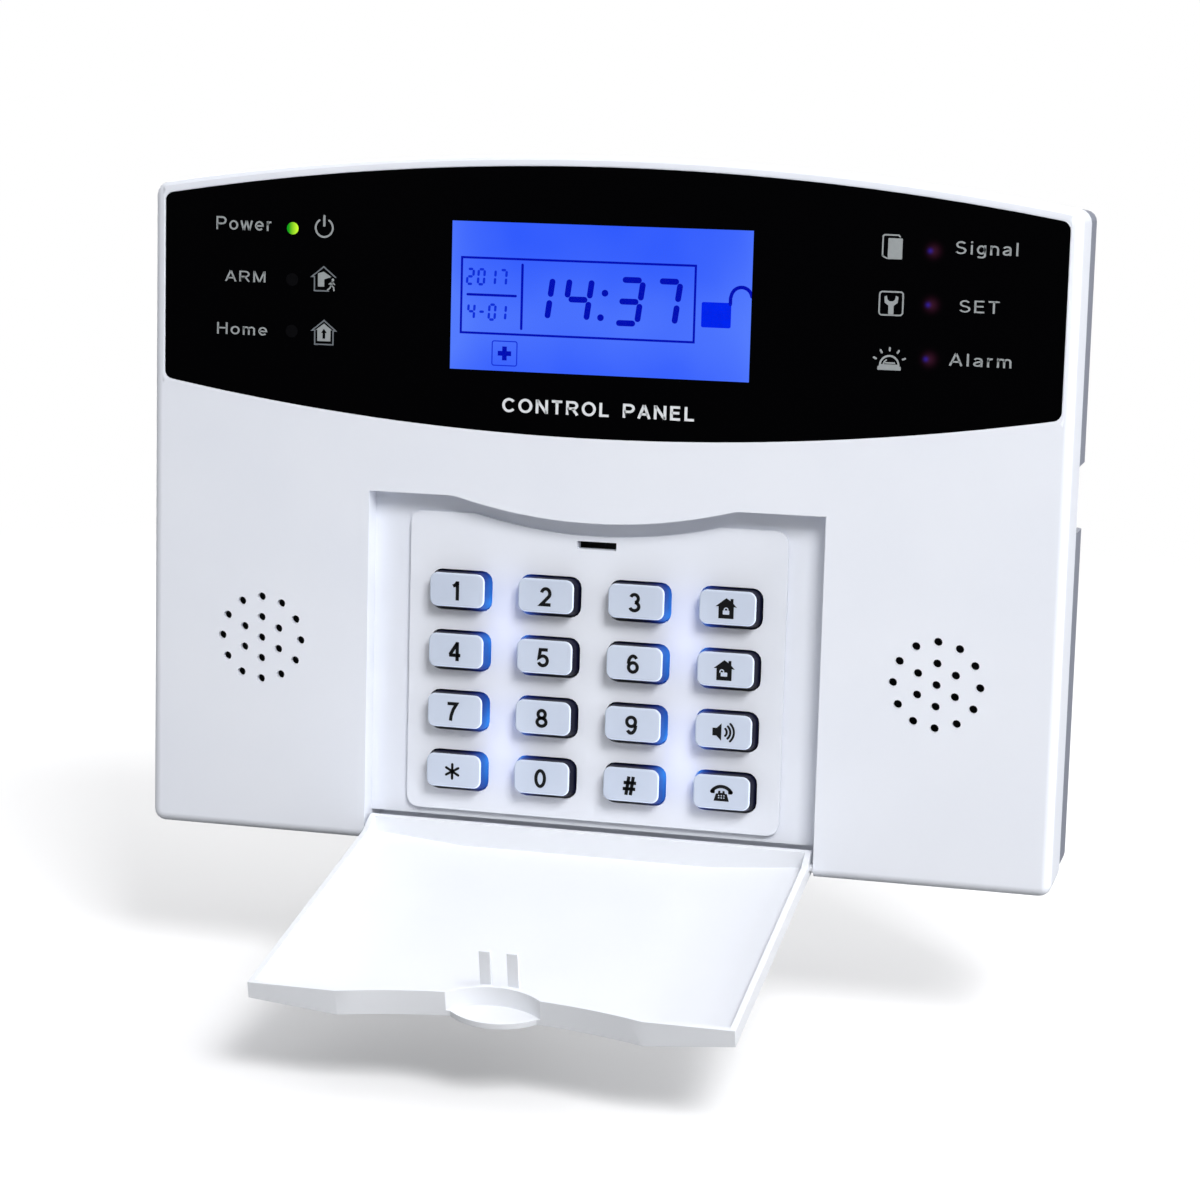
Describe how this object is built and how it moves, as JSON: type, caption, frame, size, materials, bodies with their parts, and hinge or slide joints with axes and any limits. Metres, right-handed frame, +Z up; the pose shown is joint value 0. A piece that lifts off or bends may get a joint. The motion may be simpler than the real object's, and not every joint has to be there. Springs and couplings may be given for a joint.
{
  "type": "alarm keypad panel",
  "caption": "Wall-mounted alarm keypad panel with an arched casing, a backlit display window, speaker grilles and a flip-down lid over the keys.",
  "frame": {"origin": "on the wall plane, at the back face of the wall bracket, at mid width and mid height of the casing", "axes": "+Y towards the wall, so the front faces -Y; +X to the right seen from the front; +Z up"},
  "size_m": [0.19, 0.1012, 0.1592],
  "materials": {
    "casing_white": "fine satin texture",
    "casing_rear": "fine satin texture",
    "lid_white": "smooth satin",
    "window_black": "polished, printed black behind",
    "lcd_glass": "smooth",
    "diffuser": "frosted",
    "steel": "plain plated",
    "screw_steel": "plated",
    "silicone": "matte",
    "circuit_board": "solder mask",
    "black_plastic": "moulded",
    "battery_wrap": "shrink sleeve",
    "copper_wire": "enamelled",
    "terminal_green": "moulded",
    "key_cap": "satin face on a translucent blue body",
    "led_lit": "lit green",
    "led_unlit": "tinted clear"
  },
  "bodies": {
    "housing": {"front_shell": "casing_white", "rear_shell": "casing_rear", "window_lens": "window_black", "keypad_plate": "casing_white", "wall_bracket": "steel", "lcd_glass": "lcd_glass", "lcd_backlight": "diffuser", "lcd_frame": "steel", "dome_mat": "silicone", "keypad_board": "circuit_board", "main_board": "circuit_board", "loudspeaker": "black_plastic", "sounder": "black_plastic", "battery_pack": "battery_wrap", "cellular_module": "steel", "sim_holder": "steel", "radio_receiver": "circuit_board", "antenna_coil": "copper_wire", "terminal_block": "terminal_green", "dc_jack": "black_plastic", "switch_body": "steel", "tamper_switch": "black_plastic", "power_led": "led_lit", "arm_led": "led_unlit", "home_led": "led_unlit", "signal_led": "led_unlit", "set_led": "led_unlit", "alarm_led": "led_unlit", "case_screw_1": "screw_steel", "board_screw_1": "screw_steel", "case_screw_2": "screw_steel", "board_screw_2": "screw_steel", "case_screw_3": "screw_steel", "board_screw_3": "screw_steel", "case_screw_4": "screw_steel", "board_screw_4": "screw_steel"},
    "lid": {"flip_lid": "lid_white"},
    "key_1_cap": {"key_1": "key_cap"},
    "key_2_cap": {"key_2": "key_cap"},
    "key_3_cap": {"key_3": "key_cap"},
    "key_arm_cap": {"key_arm": "key_cap"},
    "key_4_cap": {"key_4": "key_cap"},
    "key_5_cap": {"key_5": "key_cap"},
    "key_6_cap": {"key_6": "key_cap"},
    "key_disarm_cap": {"key_disarm": "key_cap"},
    "key_7_cap": {"key_7": "key_cap"},
    "key_8_cap": {"key_8": "key_cap"},
    "key_9_cap": {"key_9": "key_cap"},
    "key_speaker_cap": {"key_speaker": "key_cap"},
    "key_star_cap": {"key_star": "key_cap"},
    "key_0_cap": {"key_0": "key_cap"},
    "key_hash_cap": {"key_hash": "key_cap"},
    "key_phone_cap": {"key_phone": "key_cap"},
    "slider": {"switch_slider": "black_plastic"},
    "plunger": {"tamper_plunger": "casing_white"}
  },
  "joints": [
    {"name": "lid_hinge", "type": "hinge", "parent": "housing", "child": "lid", "pos_m": [0, -0.0315, -0.0693], "axis": [1, 0, 0], "range_deg": [-102.8, 12]},
    {"name": "key_1_press", "type": "slide", "parent": "housing", "child": "key_1_cap", "axis": [0, 1, 0], "range_m": [0, 0.0012]},
    {"name": "key_2_press", "type": "slide", "parent": "housing", "child": "key_2_cap", "axis": [0, 1, 0], "range_m": [0, 0.0012]},
    {"name": "key_3_press", "type": "slide", "parent": "housing", "child": "key_3_cap", "axis": [0, 1, 0], "range_m": [0, 0.0012]},
    {"name": "key_arm_press", "type": "slide", "parent": "housing", "child": "key_arm_cap", "axis": [0, 1, 0], "range_m": [0, 0.0012]},
    {"name": "key_4_press", "type": "slide", "parent": "housing", "child": "key_4_cap", "axis": [0, 1, 0], "range_m": [0, 0.0012]},
    {"name": "key_5_press", "type": "slide", "parent": "housing", "child": "key_5_cap", "axis": [0, 1, 0], "range_m": [0, 0.0012]},
    {"name": "key_6_press", "type": "slide", "parent": "housing", "child": "key_6_cap", "axis": [0, 1, 0], "range_m": [0, 0.0012]},
    {"name": "key_disarm_press", "type": "slide", "parent": "housing", "child": "key_disarm_cap", "axis": [0, 1, 0], "range_m": [0, 0.0012]},
    {"name": "key_7_press", "type": "slide", "parent": "housing", "child": "key_7_cap", "axis": [0, 1, 0], "range_m": [0, 0.0012]},
    {"name": "key_8_press", "type": "slide", "parent": "housing", "child": "key_8_cap", "axis": [0, 1, 0], "range_m": [0, 0.0012]},
    {"name": "key_9_press", "type": "slide", "parent": "housing", "child": "key_9_cap", "axis": [0, 1, 0], "range_m": [0, 0.0012]},
    {"name": "key_speaker_press", "type": "slide", "parent": "housing", "child": "key_speaker_cap", "axis": [0, 1, 0], "range_m": [0, 0.0012]},
    {"name": "key_star_press", "type": "slide", "parent": "housing", "child": "key_star_cap", "axis": [0, 1, 0], "range_m": [0, 0.0012]},
    {"name": "key_0_press", "type": "slide", "parent": "housing", "child": "key_0_cap", "axis": [0, 1, 0], "range_m": [0, 0.0012]},
    {"name": "key_hash_press", "type": "slide", "parent": "housing", "child": "key_hash_cap", "axis": [0, 1, 0], "range_m": [0, 0.0012]},
    {"name": "key_phone_press", "type": "slide", "parent": "housing", "child": "key_phone_cap", "axis": [0, 1, 0], "range_m": [0, 0.0012]},
    {"name": "power_switch_slide", "type": "slide", "parent": "housing", "child": "slider", "axis": [0, 0, 1], "range_m": [0, 0.003]},
    {"name": "tamper_release", "type": "slide", "parent": "housing", "child": "plunger", "axis": [0, 1, 0], "range_m": [0, 0.002]}
  ]
}
